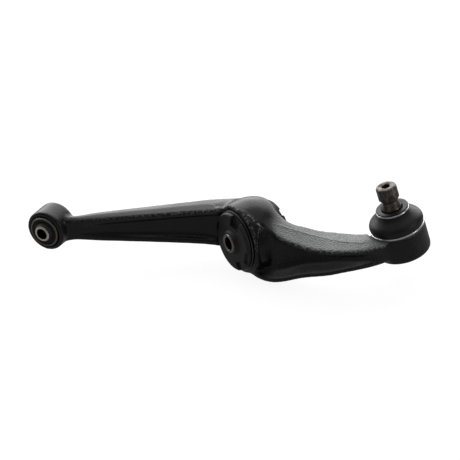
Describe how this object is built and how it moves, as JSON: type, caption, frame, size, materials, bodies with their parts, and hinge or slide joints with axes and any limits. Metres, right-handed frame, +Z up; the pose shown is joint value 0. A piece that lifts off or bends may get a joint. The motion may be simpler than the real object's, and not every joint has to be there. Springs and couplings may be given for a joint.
{
  "type": "control arm",
  "caption": "Forged I-section suspension control arm with an inner pivot bush, a large angled stabiliser bush and a sealed ball joint with a clamped stud.",
  "frame": {"origin": "centre of the inner pivot bush, halfway along its sleeve", "axes": "+Y along the inner bush's axis towards the rear, +X outwards towards the ball joint, +Z up, square to the plane of the two bush axes"},
  "size_m": [0.4079, 0.179, 0.1064],
  "materials": {
    "black_paint": "semi-gloss black paint over a forged surface",
    "sleeve_steel": "cut steel, lightly passivated",
    "shell_steel": "plain drawn steel",
    "bush_rubber": "moulded rubber, satin",
    "stud_steel": "phosphated forged steel",
    "seat_plastic": "natural acetal",
    "boot_rubber": "smooth synthetic rubber",
    "bright_ring": "bright spring steel"
  },
  "bodies": {
    "arm": {"arm_forging": "black_paint", "inner_outer_sleeve": "sleeve_steel", "inner_rubber": "bush_rubber", "stabiliser_shell": "shell_steel", "stabiliser_front_rubber": "bush_rubber", "stabiliser_rear_rubber": "bush_rubber", "ball_seat_upper": "seat_plastic", "ball_seat_lower": "seat_plastic", "preload_washer": "shell_steel", "housing_cover": "shell_steel", "boot_lower_ring": "bright_ring"},
    "inner_pivot": {"inner_sleeve": "sleeve_steel"},
    "stabiliser_pivot": {"stabiliser_sleeve": "sleeve_steel"},
    "boot": {"dust_boot": "boot_rubber"},
    "boot_collar": {"boot_upper_ring": "bright_ring"},
    "stud": {"ball_stud": "stud_steel"}
  },
  "joints": [
    {"name": "inner_bush_twist", "type": "hinge", "parent": "arm", "child": "inner_pivot", "pos_m": [0, 0, 0], "axis": [0, 1, 0], "range_deg": [-25, 25], "stiffness_Nm_per_rad": 40},
    {"name": "stabiliser_bush_twist", "type": "hinge", "parent": "arm", "child": "stabiliser_pivot", "pos_m": [0.2083, 0.0744, 0], "axis": [0.5075, 0.8616, 0], "range_deg": [-25, 25], "stiffness_Nm_per_rad": 40},
    {"name": "stud_tilt_in_out", "type": "hinge", "parent": "arm", "child": "boot", "pos_m": [0.354, 0.13, 0.003], "axis": [0.4384, -0.8988, 0], "range_deg": [-18, 18], "deforming": ["dust_boot"]},
    {"name": "stud_tilt_fore_aft", "type": "hinge", "parent": "boot", "child": "boot_collar", "pos_m": [0.354, 0.13, 0.003], "axis": [0.8674, 0.423, 0.2622], "range_deg": [-18, 18]},
    {"name": "stud_spin", "type": "hinge", "parent": "boot_collar", "child": "stud", "pos_m": [0.354, 0.13, 0.003], "axis": [-0.2357, -0.1149, 0.965], "continuous": true}
  ]
}
